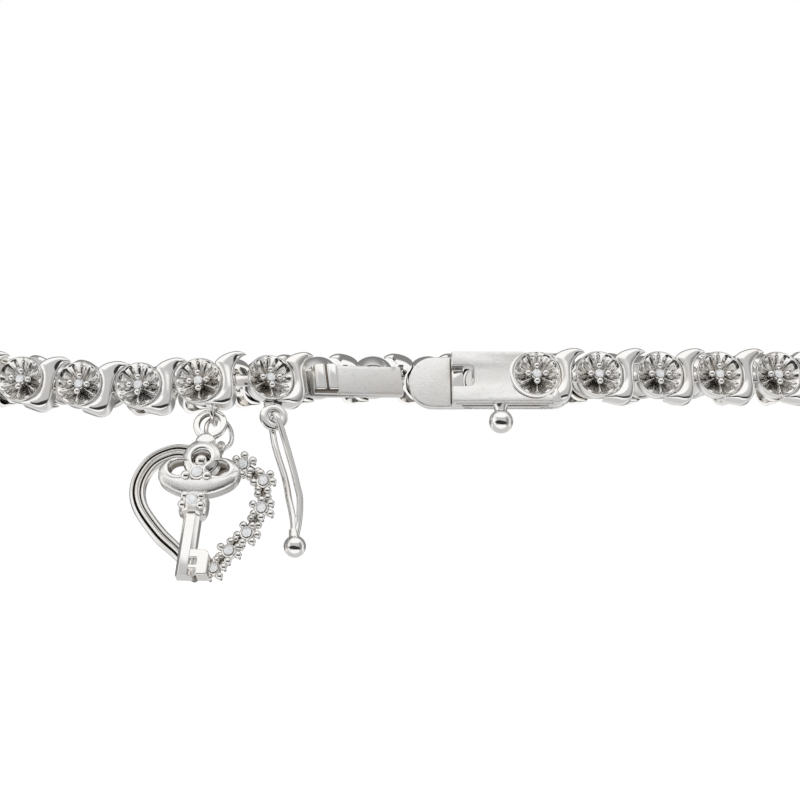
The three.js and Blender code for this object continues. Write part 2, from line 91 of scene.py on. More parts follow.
def loopArcs():
    # Lengths and centres of the loop's front, corner and back arcs.
    corner = loop["frontRadius"] - loop["cornerRadius"]
    cornerX = corner * sin(loop["frontTurn"])
    cornerY = loop["frontRadius"] - corner * cos(loop["frontTurn"])
    backRadius = loop["cornerRadius"] + cornerX / sin(loop["backTurn"])
    backY = cornerY - (backRadius - loop["cornerRadius"]) * cos(loop["backTurn"])
    front = loop["frontRadius"] * loop["frontTurn"]
    side = loop["cornerRadius"] * (pi - loop["backTurn"] - loop["frontTurn"])
    half = front + side + backRadius * loop["backTurn"]
    return cornerX, cornerY, backRadius, backY, front, side, half


cornerX, cornerY, backRadius, backY, frontLength, sideLength, halfLoop = loopArcs()


def onLoop(way):
    # The point a way along the loop from its front middle, positive to the right, and the turn of its normal.
    way -= 2 * halfLoop * round(way / (2 * halfLoop))
    along, side = abs(way), (-1 if way < 0 else 1)
    x, y, radius, turn = 0, loop["frontRadius"], loop["frontRadius"], along / loop["frontRadius"]
    if along > frontLength + sideLength:
        x, y, radius = 0, backY, backRadius
        turn = pi - loop["backTurn"] + (along - frontLength - sideLength) / backRadius
    elif along > frontLength:
        x, y, radius = cornerX, cornerY, loop["cornerRadius"]
        turn = loop["frontTurn"] + (along - frontLength) / radius
    x, y = side * (x + radius * sin(turn)), y - radius * cos(turn) - (backY + backRadius) / 2
    rise = -sag["depth"] * np.exp(-(((x - sag["at"]) / sag["width"]) ** 2))
    return np.array([x, y, rise]), side * turn


def frameAlong(hinge, along, way, ahead=0.0):
    # +X along the chain, +Z the face, which leans back by a cosine of the way round, and more behind. The
    # origin is just in front of the hinge line.
    front = cos(pi * way / halfLoop)
    back = lean["middle"] + lean["swing"] * front + lean["behind"] * within(-front, 0.2, 1)
    x = along / np.linalg.norm(along)
    level = hypot(x[0], x[1])
    face = np.array([cos(back) * x[1] / level, -cos(back) * x[0] / level, sin(back)])
    face -= face @ x * x
    face /= np.linalg.norm(face)
    place = np.eye(4)
    place[:3, 0], place[:3, 1], place[:3, 2] = x, np.cross(face, x), face
    place[:3, 3] = hinge - chain["hingeDrop"] * face + x * ahead
    return place


def chainFrames():
    # Links hang between hinges one pitch apart; the pitch is the one that closes the chain.
    def nextHinge(way, pitch):
        low, high = way, way + 2 * pitch
        for _ in range(chain["halvings"]):
            middle = (low + high) / 2
            far = np.linalg.norm(onLoop(middle)[0] - onLoop(way)[0]) > pitch
            low, high = (low, middle) if far else (middle, high)
        return low

    def walk(pitch):
        ways = [chain["rightEnd"]]
        for _ in range(chain["links"]):
            ways.append(nextHinge(ways[-1], pitch))
        return ways

    low, high = chain["pitchRange"]
    for _ in range(chain["halvings"]):
        middle = (low + high) / 2
        over = walk(middle)[-1] > 2 * halfLoop + chain["leftEnd"]
        low, high = (low, middle) if over else (middle, high)
    ways = walk(low)
    frames = []
    for start, end in zip(ways, ways[1:]):
        a, b = onLoop(start)[0], onLoop(end)[0]
        frames.append(frameAlong((a + b) / 2, b - a, (start + end) / 2))
    return frames[::-1]


def moved(x, y, z):
    # A frame moved along x, y and z.
    place = np.eye(4)
    place[:3, 3] = x, y, z
    return place


def turned(angle, axis):
    # A frame turned about one axis.
    return np.array(Matrix.Rotation(angle, 4, axis))


linkFrames = chainFrames()
leftHinge, rightHinge = onLoop(chain["leftEnd"])[0], onLoop(chain["rightEnd"])[0]
tongueTurn, boxTurn = clasp["tongueTurn"], onLoop(clasp["boxTurnAt"])[1]
tongueFrame = frameAlong(leftHinge, np.array([cos(tongueTurn), sin(tongueTurn), 0]), 0, -clasp["tongueEye"])
boxFrame = frameAlong(rightHinge, np.array([cos(boxTurn), sin(boxTurn), 0]), 0, -clasp["boxBar"])
charmFrame = linkFrames[0]
keyFrame = charmFrame @ moved(*charm["keyAt"]) @ turned(charm["keyTilt"], "X")
keyFrame = keyFrame @ turned(charm["keySlant"], "Z") @ moved(-charm["bail"][0], -charm["bail"][1], 0)
heartRingFrame = charmFrame @ moved(*charm["heartRingAt"]) @ turned(charm["eyeTurn"], "Y")
heartFrame = charmFrame @ moved(*charm["heartAt"]) @ turned(charm["heartTilt"], "X")
heartFrame = heartFrame @ turned(charm["heartSlant"], "Z")
print("frames worked out")


# Surfaces.

class Solid:
    # Closed surfaces gathered for one piece, with a value at each point for painted shade and tarnishing: 0
    # bright,
    # 1 dark, -1 satin.
    def __init__(self):
        self.points, self.tarnish, self.faces, self.count = [], [], [], 0

    def grid(self, points, tarnish=0.0, roundRows=False, caps=False):
        # Rows of points joined as quads, each row a closed ring; caps close the first and last ring.
        rows, columns = points.shape[:2]
        index = self.count + np.arange(rows * columns).reshape(rows, columns)
        below = np.roll(index, -1, axis=0) if roundRows else index[1:]
        above = index if roundRows else index[:-1]
        quads = np.stack([above, below, np.roll(below, -1, axis=1), np.roll(above, -1, axis=1)], axis=-1)
        self.faces += quads.reshape(-1, 4).tolist()
        if caps:
            self.faces += [index[0].tolist(), index[-1][::-1].tolist()]
        self.points.append(points.reshape(-1, 3))
        self.tarnish.append(np.broadcast_to(tarnish, (rows, columns)).reshape(-1))
        self.count += rows * columns

    def take(self, other, place):
        # Adds another solid's surfaces, moved by a frame.
        self.faces += [[corner + self.count for corner in face] for face in other.faces]
        points = np.concatenate(other.points)
        self.points.append(points @ place[:3, :3].T + place[:3, 3])
        self.tarnish.append(np.concatenate(other.tarnish))
        self.count += other.count

    def mesh(self, name, sharp=38):
        # Doubled points are merged, so poles close, and faces are turned outwards.
        mesh = bpy.data.meshes.new(name)
        mesh.from_pydata(np.concatenate(self.points), [], self.faces)
        values = mesh.attributes.new("tarnish", "FLOAT", "POINT")
        values.data.foreach_set("value", np.concatenate(self.tarnish).astype(np.float32))
        work = bmesh.new()
        work.from_mesh(mesh)
        bmesh.ops.remove_doubles(work, verts=work.verts, dist=1e-4)
        bmesh.ops.recalc_face_normals(work, faces=work.faces)
        work.to_mesh(mesh)
        work.free()
        corners = np.empty(len(mesh.polygons), dtype=np.int32)
        mesh.polygons.foreach_get("loop_total", corners)
        mesh.polygons.foreach_set("use_smooth", corners <= 4)  # flat caps stay flat
        mesh.set_sharp_from_angle(angle=radians(sharp))
        return mesh


def smoothThrough(points, count):
    # A smooth line (Catmull-Rom) through points, at an even count of places from the first to the last.
    points = np.asarray(points, dtype=float)
    padded = np.vstack([2 * points[0] - points[1], points, 2 * points[-1] - points[-2]])
    place = np.linspace(0, len(points) - 1, count)
    i = np.minimum(place.astype(int), len(points) - 2)
    f = (place - i)[:, None]
    a, b, c, d = padded[i], padded[i + 1], padded[i + 2], padded[i + 3]
    return 0.5 * (2 * b + (c - a) * f + (2 * a - 5 * b + 4 * c - d) * f**2 + (3 * b - a - 3 * c + d) * f**3)


def roundedOutline(corners, steps=5):
    # A polygon whose corners, given as (x, y, radius), are rounded by short arcs.
    corners = np.asarray(corners, dtype=float)
    out = []
    for i, (*here, radius) in enumerate(corners):
        before, after = corners[i - 1, :2] - here, corners[(i + 1) % len(corners), :2] - here
        before, after = before / np.linalg.norm(before), after / np.linalg.norm(after)
        if radius == 0:
            out.append([here])
            continue
        half = np.arccos(np.clip(before @ after, -1, 1)) / 2
        start, end = here + before * radius / np.tan(half), here + after * radius / np.tan(half)
        centre = here + (before + after) / np.linalg.norm(before + after) * radius / sin(half)
        mix = np.linspace(0, 1, steps + 1)[:, None]
        spoke = (start - centre) * (1 - mix) + (end - centre) * mix
        out.append(centre + spoke / np.linalg.norm(spoke, axis=1)[:, None] * radius)
    return np.concatenate(out)


def pulledIn(outline, depth):
    # The outline moved inwards by a depth, along the mean of its two edges' normals.
    nextOne, lastOne = np.roll(outline, -1, axis=0) - outline, outline - np.roll(outline, 1, axis=0)
    nextOne /= np.linalg.norm(nextOne, axis=1)[:, None] + 1e-12
    lastOne /= np.linalg.norm(lastOne, axis=1)[:, None] + 1e-12
    inward = np.stack([-(nextOne + lastOne)[:, 1], (nextOne + lastOne)[:, 0]], axis=1)
    length = np.linalg.norm(inward, axis=1)[:, None]
    return outline + depth * inward / (length / 2 + 1e-9) / np.maximum(length, 0.5)


def plate(solid, outline, low, high, edge=0.07, lowEdge=0.04, steps=3, tarnish=0.0):
    # A flat plate from an outline that runs anticlockwise, with its top and bottom edges rounded.
    turn = np.linspace(0, pi / 2, steps + 1)
    rows = [(lowEdge * (1 - sin(a)), low + lowEdge * (1 - cos(a))) for a in turn]
    rows += [(edge * (1 - cos(a)), high - edge * (1 - sin(a))) for a in turn]
    rings = [np.column_stack([pulledIn(outline, depth), np.full(len(outline), z)]) for depth, z in rows]
    solid.grid(np.stack(rings), tarnish, caps=True)


def box(solid, x, y, z, edge=0.05, tarnish=0.0):
    # A block with rounded edges, from its ends along x, y and z.
    corners = [(x[0], y[0], edge), (x[1], y[0], edge), (x[1], y[1], edge), (x[0], y[1], edge)]
    plate(solid, roundedOutline(corners, 2), z[0], z[1], edge, edge, 2, tarnish)


def lathe(solid, profile, segments, axis="z", centre=(0, 0, 0), tarnish=0.0):
    # An open profile of (radius, height) turned round an axis.
    profile = np.asarray(profile, dtype=float)
    angle = np.linspace(0, 2 * pi, segments, endpoint=False)
    across = profile[:, :1] * np.cos(angle)
    up = profile[:, :1] * np.sin(angle)
    along = np.broadcast_to(profile[:, 1:2], across.shape)
    order = {"z": (across, up, along), "y": (up, along, across), "x": (along, across, up)}[axis]
    solid.grid(np.stack(order, axis=-1) + np.asarray(centre), tarnish)


def ball(solid, centre, radius, across=16, down=10, tarnish=0.0):
    # A ball, or an egg when its radius is given along x, y and z.
    up = np.linspace(-pi / 2, pi / 2, down + 1)[:, None]
    angle = np.linspace(0, 2 * pi, across, endpoint=False)
    way = np.stack([np.cos(up) * np.cos(angle), np.cos(up) * np.sin(angle), np.sin(up) + 0 * angle], axis=-1)
    solid.grid(way * radius + np.asarray(centre), tarnish)


def hoop(solid, profile, centre=(0, 0, 0), axis="z", around=56, tarnish=0.0):
    # A closed profile of (radius, height) carried round an axis.
    profile = np.asarray(profile, dtype=float)
    angle = np.linspace(0, 2 * pi, around, endpoint=False)
    a, b = np.outer(np.cos(angle), profile[:, 0]), np.outer(np.sin(angle), profile[:, 0])
    c = np.broadcast_to(profile[:, 1], a.shape)
    order = {"z": (a, b, c), "y": (a, c, b), "x": (c, a, b)}[axis]
    solid.grid(np.stack(order, axis=-1) + np.asarray(centre), tarnish, roundRows=True)


def ring(solid, centre, radius, wire, axis="z", around=48, section=14):
    # A round wire bent to a circle about an axis.
    turn = np.linspace(0, 2 * pi, section, endpoint=False)
    hoop(solid, np.column_stack([radius + wire * np.cos(turn), wire * np.sin(turn)]), centre, axis, around)


def tube(solid, path, radius, sides=12, aside=(1, 0, 0), tarnish=0.0):
    # A round wire along a path; aside is a direction that the path never runs along.
    path = np.asarray(path, dtype=float)
    ahead = np.gradient(path, axis=0)
    ahead /= np.linalg.norm(ahead, axis=1)[:, None]
    across = np.cross(ahead, np.asarray(aside, dtype=float))
    across /= np.linalg.norm(across, axis=1)[:, None]
    other = np.cross(across, ahead)
    radius = np.broadcast_to(radius, len(path))[:, None, None]
    turn = np.linspace(0, 2 * pi, sides, endpoint=False)[None, :, None]
    rings = path[:, None] + radius * (across[:, None] * np.cos(turn) + other[:, None] * np.sin(turn))
    solid.grid(rings, tarnish, caps=True)


def atHeight(flat, z):
    # Rows of flat points, each given its height.
    return np.concatenate([flat, np.broadcast_to(z, flat.shape[:2])[..., None]], axis=-1)


def edgeBand(solid, left, right, low, crest, shoulder, power=0.85, ceiling=None, tarnish=0.0, lean=0.0):
    # A band between a left and a right edge: walls up from low to the shoulder, then a dome to the crest, a
    # power of the sine of the way across; lean moves the crest towards one edge. Where the band is narrower
    # than full, the dome is lower. Below, it is open like a trough up to the ceiling, or flat without one.
    full, wall, bevel, arch = 0.7, 0.3, 0.12, 21
    count = len(left)
    width = np.linalg.norm(right - left, axis=1)
    low = np.broadcast_to(low, (2, count)) if np.ndim(low) < 2 else np.asarray(low)
    shoulder, crest = np.broadcast_to(shoulder, count), np.broadcast_to(crest, count)
    top = shoulder + (crest - shoulder) * np.clip(width / full, 0.02, 1)
    turn = np.linspace(0, pi, arch)
    across = (1 - np.cos(turn)) / 2 + lean * np.sin(turn) ** 2 * 0.25
    foot = 0.05 / np.maximum(width, 0.3)
    mixes = [foot, 0 * foot] + [np.full(count, m) for m in across] + [1 + 0 * foot, 1 - foot]
    dome = [shoulder + (top - shoulder) * rise for rise in np.sin(turn) ** power]
    heights = [low[0], low[0] + bevel] + dome + [low[1] + bevel, low[1]]
    if ceiling is not None:
        inset = np.minimum(wall / np.maximum(width, 1e-6), 0.42)
        inner = np.maximum(np.minimum(ceiling, top - 0.2), low.min(axis=0) + 0.02)
        mixes += [1 - inset, 1 - inset, inset, inset]
        heights += [low[1], np.maximum(inner, low[1]), np.maximum(inner, low[0]), low[0]]
    mix, height = np.stack(mixes, axis=1), np.stack(heights, axis=1)
    flat = left[:, None] * (1 - mix[..., None]) + right[:, None] * mix[..., None]
    solid.grid(atHeight(flat, height), tarnish, caps=True)


# Plain link: flower, wave and tab.

flower = {
    "rim": 1.97, "base": 1.8, "top": 0.85, "back": -0.7, "post": 0.5, "rods": 6, "each": 16,
    "slope": 1.1, "flute": 0.1, "rod": 0.085, "stone": 0.38, "stoneAt": 0.76, "prong": 0.28,
}


def turnedRows(rows, angle):
    # Rows of (radius, height) as circles of points at the given angles.
    radius, height = np.array(rows, dtype=float).T
    circle = np.stack([np.outer(radius, np.cos(angle)), np.outer(radius, np.sin(angle))], axis=-1)
    return atHeight(circle, height[:, None])


def flowerCup(solid, flatTop=None):
    # Turned cup with a hollow of petals, two between each pair of rods. The hollow is a cone; across it, each
    # petal is a parabola that rises to a thin cusp on one side and to a rod on the other. A rod is a bell
    # with a flat top line that sinks slowly towards the middle, and a small pit at its outer end. The points
    # across a petal are closest together at the rod.
    rim, base, top, back, rods = (flower[name] for name in ("rim", "base", "top", "back", "rods"))
    part = np.linspace(-1, 1, flower["each"], endpoint=False)
    part = part * (0.45 + 0.55 * np.abs(part))
    share = 2 * pi / rods
    angle = (np.arange(rods)[:, None] * share + share / 2 * (1 + part)).reshape(-1)
    rows = [(0, back + 0.22), (1.2, back + 0.22), (1.5, back + 0.16), (1.6, back), (base - 0.14, back),
            (base - 0.04, back + 0.06), (base, back + 0.18), (rim - 0.05, top - 0.45), (rim, top - 0.1),
            (rim - 0.03, top - 0.03), (rim - 0.06, top), (rim - 0.1, top)]
    outer = turnedRows(rows, angle)
    # Painted shade on the back rows of the cup's outside.
    outerShade = np.zeros(outer.shape[:2])
    outerShade[:4] = 0.4
    outerEnd, post = rim - 0.12, flower["post"]
    radius = np.concatenate([np.linspace(outerEnd, rim - 0.5, 11), np.linspace(rim - 0.62, post, 8)])
    r, a = np.meshgrid(radius, angle, indexing="ij")
    fromRod = r * share / 2 * np.tile(np.abs(part), rods)
    down = (outerEnd - r) / (outerEnd - post)
    across = np.clip(2 * fromRod / (r * share / 2) - 1, -1, 1)
    flute = flower["flute"] * r * across**2 * np.clip(down * 8, 0, 1)
    floor = top - 0.03 - flower["slope"] * down**0.9 + flute
    rodTop = top - 0.04 - 0.42 * down
    rod = np.exp(-((fromRod / (flower["rod"] + 0.03 * down)) ** 4))
    pit = np.exp(-((fromRod / 0.09) ** 2)) * np.exp(-(((r - rim + 0.3) / 0.08) ** 2))
    z = floor + np.maximum(rodTop - floor, 0) * rod - 0.14 * pit
    # Painted shade: darker deeper in each petal and in a line beside each rod, darkest in the pits.
    beside = 0.2 * np.exp(-((fromRod - 0.16) / 0.06) ** 2) * down
    dark = np.maximum((1 - rod) * (0.08 + 0.3 * down) + beside, pit)
    petals = np.stack([r * np.cos(a), r * np.sin(a), z], axis=-1)
    seat = flower["stoneAt"] - 0.06
    inner = [(post - 0.04, 0.1), (post - 0.06, seat - 0.06), (post - 0.12, seat), (0, seat)]
    middle = turnedRows(inner, angle)
    points = np.concatenate([outer, petals, middle])
    if flatTop is not None:
        points[..., 1] = np.minimum(points[..., 1], flatTop)
    # The seat under the stone has light painted shade.
    tarnish = np.concatenate([outerShade, dark, np.full(middle.shape[:2], 0.2)])
    solid.grid(points, tarnish)
    prongs(solid)


def prongs(solid):
    # Four beads on short bent stems round the stone.
    for i, reach in enumerate((0.72, 0.66, 0.72, 0.68)):
        turn = i * pi / 2
        way = np.array([cos(turn), sin(turn)])
        path = [(*(way * 0.35), 0.2), (*(way * (reach + 0.02)), 0.3), (*(way * reach), 0.7)]
        # The stems under the beads carry light painted shade.
        tube(solid, smoothThrough(path, 5), 0.13, 6, aside=(-way[1], way[0], 0), tarnish=0.25)
        ball(solid, (*(way * reach), 0.9), flower["prong"], 10, 7)


def roundStone(solid, centre, radius):
    # A round brilliant in a few steps: flat table, crown facets, pavilion.
    profile = [(0, -0.3), (0.55, 0.0), (1.0, 0.28), (0.98, 0.36), (0.6, 0.62), (0, 0.62)]
    lathe(solid, np.array(profile) * radius, 8, "z", centre)


waveEdges = {
    # The band's left edge, from its foot up beside the flower and over the curl to its tip, then its right.
    "left": [(0.35, -1.88), (1.1, -1.66), (1.62, -1.26), (1.91, -0.75), (1.98, -0.15), (1.94, 0.4),
             (1.79, 0.84), (1.55, 1.2), (1.45, 1.52), (1.9, 1.93), (2.6, 2.2), (3.3, 2.27), (3.8, 2.15),
             (4.06, 1.97)],
    "right": [(0.45, -2.03), (1.25, -2.25), (2.02, -2.37), (2.64, -2.07), (2.92, -1.4), (2.93, -0.6),
              (2.92, 0.12), (2.96, 0.66), (3.05, 1.0), (3.19, 1.27), (3.38, 1.53), (3.62, 1.73), (3.86, 1.87),
              (4.05, 1.95)],
    "low": -0.7, "shoulder": 0.56, "crest": 0.98, "ceiling": 0.42,
}


def waveBand(solid, foot=0, slot=True):
    # The S-shaped band: open behind like a trough, its right wall notched for the next link's tab, its curl
    # thin. It starts at the foot's point of the edges.
    count = 70
    left = smoothThrough(waveEdges["left"][foot:], count)
    right = smoothThrough(waveEdges["right"][foot:], count)
    low = np.full((2, count), waveEdges["low"])
    curl = [within(edge[:, 0], 2.9, 3.05) * (edge[:, 1] > 0) for edge in (left, right)]
    low = low + (0.3 - waveEdges["low"]) * np.array(curl)
    if slot:
        low[1] = np.where(np.abs(right[:, 1]) < 0.62, 0.42, low[1])
    shoulder = waveEdges["shoulder"] - 0.1 * within(-np.linspace(0, 1, count), -0.3, 0)
    edgeBand(solid, left, right, low, waveEdges["crest"], shoulder, 0.8, waveEdges["ceiling"])


def hingeBar(solid, at):
    # The bar across the back of the band, with a lug at each end of it.
    drop = chain["hingeDrop"]
    # The bar and lugs behind the band carry light painted shade.
    tube(solid, [(at, -0.8, drop), (at, 0, drop), (at, 0.8, drop)], 0.14, 10, tarnish=0.2)
    for side in (-1, 1):
        y = sorted((side * 0.64, side * 0.9))
        box(solid, (at - 0.24, at + 0.24), y, (drop - 0.24, 0.5), tarnish=0.2)


def eyeTab(solid, reach):
    # The flat tab on the left side and the rolled eye at its end.
    drop = chain["hingeDrop"]
    across, up = (f(np.linspace(0, 2 * pi, 12, endpoint=False)) for f in (np.cos, np.sin))
    profile = np.column_stack([0.415 + 0.085 * across, 0.42 * np.sign(up) * np.abs(up) ** 0.5])
    # The eye carries light painted shade.
    hoop(solid, profile, (-reach, 0, drop), "y", 20, 0.2)
    box(solid, (-reach + 0.4, -1.2), (-0.42, 0.42), (drop - 0.22, drop + 0.22), 0.06)


def plainLink():
    # Cup, wave, hinge bar and eye of one link.
    solid = Solid()
    flowerCup(solid)
    waveBand(solid)
    hingeBar(solid, chain["halfPitch"])
    eyeTab(solid, chain["halfPitch"])
    return solid


print("link shapes ready")


# Tongue.

tongue = {"start": 2.7, "tip": 11.95, "top": 1.25, "foot": -1.3, "leaf": 0.28, "bottom": -0.72}
button = {"left": 3.85, "right": 5.92, "top": 1.2, "foot": -1.1, "under": 0.28, "face": 1.05, "groove": 4.88}
ear = {"x": 0.13, "y": -3.25, "radius": 1.18, "bore": 0.45, "half": 0.26}


def foldedLeaves(solid):
    # The tongue's edge outline carried from its foot edge to its top edge, with the long edges rounded and
    # the upper leaf crowned by a parabola.
    start, tip, leaf, bottom = tongue["start"], tongue["tip"], tongue["leaf"], tongue["bottom"]
    top, under = button["under"] + 0.1, button["under"] - leaf + 0.1
    side = roundedOutline([(start, bottom, 0), (tip, bottom, 0.2), (tip, bottom + 0.72, 0.22),
                           (button["left"], top, 0), (button["left"], under, 0),
                           (tip - 0.55, bottom + leaf + 0.03, 0.02), (start, bottom + leaf, 0)], 4)
    edge = 0.09
    turn = np.linspace(0, pi / 2, 4)
    rows = [(edge * (1 - sin(a)), tongue["foot"] + edge * (1 - cos(a))) for a in turn]
    rows += [(0, y) for y in np.linspace(tongue["foot"] + 0.3, tongue["top"] - 0.3, 6)]
    rows += [(edge * (1 - cos(a)), tongue["top"] - edge * (1 - sin(a))) for a in turn]
    rings = []
    for depth, y in rows:
        flat = pulledIn(side, depth)
        crown = 0.05 * (1 - ((y + 0.02) / 1.3) ** 2) * (flat[:, 1] > bottom + 0.45)
        rings.append(np.column_stack([flat[:, 0], np.full(len(flat), y), flat[:, 1] + crown]))
    solid.grid(np.stack(rings), -1, caps=True)


def thumbButton(solid):
    # Two cushions side by side with a groove between, on one bar.
    left, right, groove = button["left"], button["right"], button["groove"]
    foot, top = button["foot"], button["top"]
    soft, tight, gap = 0.36, 0.2, 0.08
    for x0, x1, rightTop, leftTop in ((left, groove - gap, tight, soft), (groove + gap, right, soft, tight)):
        corners = [(x0, foot, tight), (x1, foot, tight), (x1, top, rightTop), (x0, top, leftTop)]
        plate(solid, roundedOutline(corners, 4), button["under"], button["face"], edge=0.16, steps=4)
    # Under both, a bar dark with painted shade, seen in the groove and round the cushions.
    left, right, foot, top = left + 0.03, right - 0.03, foot - 0.12, top - 0.05
    bar = roundedOutline([(left, foot, 0.1), (right, foot, 0.1), (right, top, 0.3), (left, top, 0.3)], 3)
    plate(solid, bar, button["under"] - 0.1, button["face"] - 0.3, edge=0.08, tarnish=1.1)


def tongueLink():
    # The end link: cup, wave and eye, the block that the folded tongue starts from, its button and the ear.
    solid = Solid()
    flowerCup(solid)
    waveBand(solid, slot=False)
    eyeTab(solid, -clasp["tongueEye"])
    # The block that the tongue starts from carries painted shade.
    box(solid, (2.2, 3.8), (-1.3, 1.05), (tongue["bottom"], -0.3), 0.08, 0.25)
    box(solid, (2.6, 3.3), (-1.25, 1.0), (-0.35, 0.3), 0.1, 0.3)
    foldedLeaves(solid)
    thumbButton(solid)
    # The ear: a washer with softly rounded edges and a countersunk bore, on a short stem. Painted shade
    # darkens the bore.
    outer, bore, half = ear["radius"], ear["bore"], ear["half"]
    profile = [(bore, -half + 0.06), (bore, half - 0.16), (bore + 0.05, half - 0.07),
               (bore + 0.14, half - 0.01), (bore + 0.24, half + 0.01), (outer - 0.2, half),
               (outer - 0.07, half - 0.03), (outer, half - 0.09), (outer, -half + 0.06),
               (outer - 0.06, -half), (bore + 0.06, -half)]
    hoop(solid, profile, (ear["x"], ear["y"], 0), tarnish=np.array([0.7, 0.5, 0.3] + [0.0] * 8))
    box(solid, (ear["x"] - 0.7, ear["x"] + 0.8), (-2.5, -1.5), (-half + 0.02, half - 0.06), 0.08)
    return solid


# Safety arm.

arm = {"wire": 0.27, "ball": 0.93, "ballX": 0.54, "ballY": -11.33}
# How far down from the ear, the middle of the two wires, half their spread and half the gap between them,
# then the bend round the ear.
armRows = np.array([(2.27, 0.28, 0.31, 0.44), (3.55, 0.5, 0.34, 0.38), (5.03, 0.77, 0.33, 0.32),
                    (6.2, 0.91, 0.35, 0.28), (7.09, 0.98, 0.4, 0.24), (8.2, 0.98, 0.31, 0.16),
                    (9.3, 0.88, 0.2, 0.06), (10.5, 0.64, 0.08, 0)])
armBend = [(-0.06, -0.7, -0.58), (-0.04, -0.1, -0.54), (0, 0.1, -0.26), (0, 0.1, 0.26), (0.06, -0.1, 0.54),
           (0.24, -0.7, 0.58)]


def safetyArm():
    # A hairpin: up behind the ear, through its bore, down in front; the wires spread, then meet at the ball.
    solid = Solid()
    down, middle, half, apart = armRows.T
    front = np.column_stack([middle + half, -down, apart])
    behind = np.column_stack([middle - half, -down, -apart])[::-1]
    path = smoothThrough(np.vstack([behind, armBend, front]) + (ear["x"], ear["y"], 0), 150)
    tube(solid, path, arm["wire"], 14)
    centre = (ear["x"] + arm["ballX"], ear["y"] + arm["ballY"], 0)
    neck = [(0, 0), (0.5, 0), (0.42, 0.35), (0.34, 1.0), (0, 1.0)]
    lathe(solid, neck, 20, "y", (ear["x"] + 0.56, ear["y"] - 10.85, 0))
    ball(solid, centre, arm["ball"], 32, 20)
    return solid


# Clasp box.

boxSize = {
    "left": -7.06, "right": 2.75, "foot": -2.54, "top": 1.89, "bottom": -1.0, "face": 0.88,
    "notchEnd": -5.2, "notchTop": 0.65, "notchFoot": -1.13, "guideEnd": -10.5, "wall": 0.35,
}
stud = {"x": -3.02, "y": -3.92, "z": -0.1, "radius": 1.0}


def flowerBay(radius, start, end, count):
    # Points with no corner radius along an arc round the flower.
    turn = np.linspace(radians(start), radians(end), count)
    return np.column_stack([radius * np.cos(turn), radius * np.sin(turn), 0 * turn])


def claspBox():
    # The hollow box: plates and walls, then its flower, wave and ball stud.
    solid = Solid()
    left, right, foot, top, wall = (boxSize[name] for name in ("left", "right", "foot", "top", "wall"))
    bottom, face = boxSize["bottom"], boxSize["face"]
    end, notchTop, notchFoot = boxSize["notchEnd"], boxSize["notchTop"], boxSize["notchFoot"]
    # Front plate: its notch is open to the left, and its right end goes round the flower.
    front = roundedOutline([(-1.1, top, 0), (left, top, 0.12), (left, notchTop, 0.12), (end, notchTop, 0.42),
                            (end, notchFoot, 0.42), (left, notchFoot, 0.12), (left, foot, 0.3),
                            (1.35, foot, 0.3), (1.35, -1.95, 0.1), *flowerBay(1.92, 292, 124, 30)], 5)
    plate(solid, front, 0.05, face, edge=0.09, lowEdge=0.02, tarnish=-1)
    # Walls: the lower one has a slit whose bottom is a dark strip of painted shade. Then the block under the
    # flower and the corner beside it.
    slitTop, slitFoot, slitEnd = 0.24, -0.3, -6.2
    slit = (slitFoot - 0.1, slitTop + 0.1)
    box(solid, (left, 1.4), (foot, foot + wall), (slitTop, face - 0.2), 0.03)
    box(solid, (left, 1.4), (foot, foot + wall), (bottom, slitFoot), 0.04)
    box(solid, (left, slitEnd), (foot + 0.005, foot + wall), slit, 0.02)
    box(solid, (slitEnd, 0.25), (foot + 0.06, foot + wall), slit, 0.02, 1.4)
    block = roundedOutline([(0.25, foot, 0.06), (right, foot, 1.3), (right, top - 1.2, 0.4), (2.0, top, 0.4),
                            (0.25, top, 0.06)], 8)
    plate(solid, block, bottom, -0.35, edge=0.05, lowEdge=0.05)
    corner = roundedOutline([(0.95, foot, 0.1), (right, foot, 1.3), (right, 0.55, 0.1),
                             *flowerBay(1.94, 12, -62, 24)], 8)
    plate(solid, corner, -0.6, 0.66, edge=0.08, lowEdge=0.05)
    box(solid, (left, 1.4), (top - wall, top), (bottom, face - 0.2), 0.03)
    floorPlate(solid)
    flowerCup(solid, flatTop=top - 0.02)
    crescent(solid)
    waveBand(solid, foot=2, slot=False)
    hingeBar(solid, clasp["boxBar"])
    # The stud's neck carries light painted shade.
    neck = [(0, -0.35), (0.6, -0.3), (0.5, 0.15), (0.52, 0.5), (0.7, 1.0), (0, 1.0)]
    lathe(solid, neck, 24, "y", (stud["x"], foot - 0.9, stud["z"]), 0.12)
    ball(solid, (stud["x"], stud["y"], stud["z"]), stud["radius"], 36, 22)
    return solid


